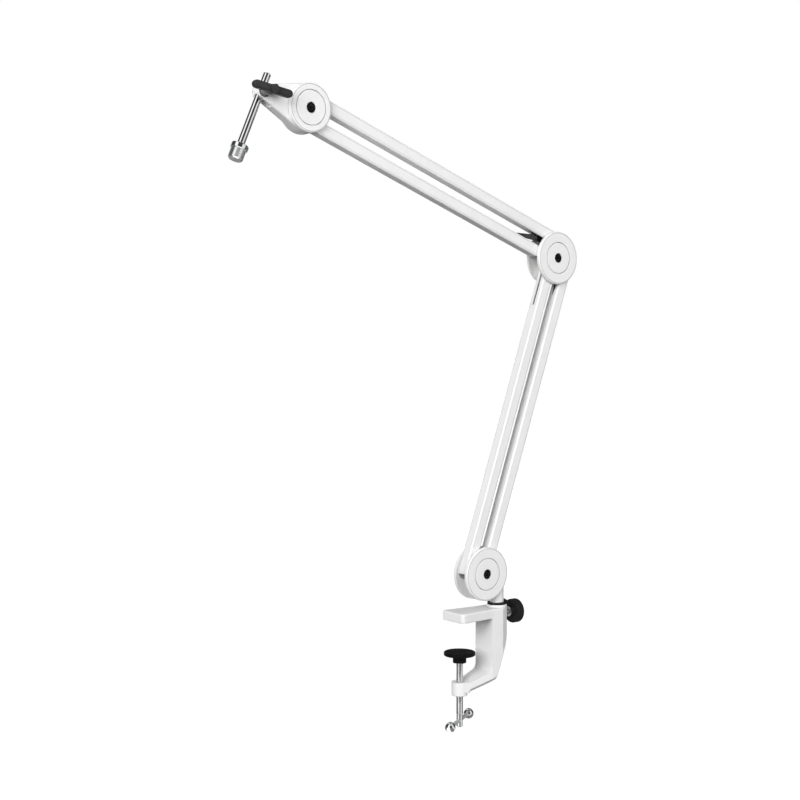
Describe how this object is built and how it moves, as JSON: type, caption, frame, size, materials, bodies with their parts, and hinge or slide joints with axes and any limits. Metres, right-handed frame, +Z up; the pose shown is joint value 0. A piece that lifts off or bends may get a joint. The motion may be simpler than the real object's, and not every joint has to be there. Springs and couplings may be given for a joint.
{
  "type": "microphone boom arm",
  "caption": "Desk-clamped parallelogram boom arm with round joint discs, springs inside its bars, a swivel base and a tilting rod that ends in a microphone thread.",
  "frame": {"origin": "where the clamp screw's axis meets the jaw face that lies on the desk top", "axes": "+Z up along the clamp screw and the swivel post, +X from the desk's edge outwards, arm linkage in the XZ plane"},
  "size_m": [0.4748, 0.0518, 0.7121],
  "materials": {
    "white_paint": "satin",
    "black_plastic": "satin",
    "black_steel": "satin",
    "chrome": "polished",
    "steel": "brushed",
    "nylon": "matte"
  },
  "bodies": {
    "clamp": {"clamp_frame": "white_paint", "swivel_bush": "black_plastic"},
    "pad": {"pressure_pad": "black_plastic"},
    "screw": {"clamp_screw": "chrome"},
    "tommy": {"tommy_bar": "chrome", "tommy_balls": "chrome"},
    "thumb": {"thumb_knob": "black_plastic", "thumb_collar": "chrome", "thumb_stud": "steel"},
    "swivel": {"swivel_post": "steel", "base_knuckle": "white_paint", "base_disc": "white_paint", "base_cap": "white_paint", "base_bolt": "black_steel", "base_nut": "black_steel", "base_pin": "steel", "base_washers": "nylon"},
    "lower_outer": {"lower_outer_bar": "white_paint"},
    "lower_inner": {"lower_inner_bar": "white_paint", "lower_spring": "steel", "lower_spring_pins": "steel"},
    "elbow": {"elbow_disc": "white_paint", "elbow_cap": "white_paint", "elbow_rear_disc": "white_paint", "elbow_bolt": "black_steel", "elbow_nut": "black_steel", "elbow_pins": "steel", "elbow_washers": "nylon", "elbow_spacers": "steel"},
    "upper_inner": {"upper_inner_bar": "white_paint", "upper_tongue": "black_steel", "tongue_pins": "steel", "upper_spring": "steel", "upper_spring_pins": "steel"},
    "upper_outer": {"upper_outer_bar": "white_paint", "upper_link": "black_steel"},
    "head": {"head_bracket": "white_paint", "head_disc": "white_paint", "head_cap": "white_paint", "head_bolt": "black_steel", "head_nut": "black_steel", "head_pins": "steel", "head_washers": "nylon"},
    "barrel": {"rod_barrel": "white_paint"},
    "rod": {"mic_rod": "chrome"},
    "adapter": {"thread_adapter": "chrome"},
    "lever": {"t_lever": "black_plastic", "lever_stud": "steel", "lever_washer": "steel"}
  },
  "joints": [
    {"name": "pad_travel", "type": "slide", "parent": "clamp", "child": "pad", "axis": [0, 0, 1], "range_m": [-0.021, 0.022]},
    {"name": "screw_turn", "type": "hinge", "parent": "pad", "child": "screw", "pos_m": [0, 0, -0.06], "axis": [0, 0, 1], "continuous": true},
    {"name": "tommy_slide", "type": "slide", "parent": "screw", "child": "tommy", "axis": [0.8526, 0.5225, 0], "range_m": [-0.022, 0.022]},
    {"name": "thumb_turn", "type": "hinge", "parent": "clamp", "child": "thumb", "pos_m": [0.0785, 0, 0.0021], "axis": [1, 0, 0], "continuous": true},
    {"name": "swivel_turn", "type": "hinge", "parent": "clamp", "child": "swivel", "pos_m": [0.0563, 0, 0], "axis": [0, 0, 1], "continuous": true},
    {"name": "lower_arm", "type": "hinge", "parent": "swivel", "child": "lower_outer", "pos_m": [0.0318, 0, 0.051], "axis": [0, 1, 0], "range_deg": [-64.76, 10.24]},
    {"name": "lower_inner_hinge", "type": "hinge", "parent": "swivel", "child": "lower_inner", "pos_m": [0.0108, 0, 0.051], "axis": [0, 1, 0], "range_deg": [-64.76, 10.24]},
    {"name": "elbow_hinge", "type": "hinge", "parent": "lower_outer", "child": "elbow", "pos_m": [0.16247, 0, 0.41474], "axis": [0, 1, 0], "range_deg": [-10.24, 64.76]},
    {"name": "upper_arm", "type": "hinge", "parent": "elbow", "child": "upper_inner", "pos_m": [0.14147, 0, 0.41474], "axis": [0, 1, 0], "range_deg": [-40.68, 24.32]},
    {"name": "upper_outer_hinge", "type": "hinge", "parent": "elbow", "child": "upper_outer", "pos_m": [0.14147, 0, 0.43574], "axis": [0, 1, 0], "range_deg": [-40.68, 24.32]},
    {"name": "head_hinge", "type": "hinge", "parent": "upper_inner", "child": "head", "pos_m": [-0.2104, 0, 0.54756], "axis": [0, 1, 0], "range_deg": [-24.32, 40.68]},
    {"name": "rod_tilt", "type": "hinge", "parent": "head", "child": "barrel", "pos_m": [-0.26468, 0, 0.5701], "axis": [0, 1, 0], "range_deg": [-45, 23]},
    {"name": "rod_slide", "type": "slide", "parent": "barrel", "child": "rod", "axis": [0.4019, 0, 0.9157], "range_m": [-0.008, 0.025]},
    {"name": "adapter_turn", "type": "hinge", "parent": "rod", "child": "adapter", "pos_m": [-0.29282, 0, 0.506], "axis": [0.4019, 0, 0.9157], "continuous": true},
    {"name": "lever_turn", "type": "hinge", "parent": "barrel", "child": "lever", "pos_m": [-0.26468, -0.02, 0.5701], "axis": [0, 1, 0], "continuous": true}
  ],
  "couplings": [
    {"joint": "lower_inner_hinge", "follows": "lower_arm", "ratio": 1},
    {"joint": "elbow_hinge", "follows": "lower_arm", "ratio": -1},
    {"joint": "upper_outer_hinge", "follows": "upper_arm", "ratio": 1},
    {"joint": "head_hinge", "follows": "upper_arm", "ratio": -1}
  ]
}
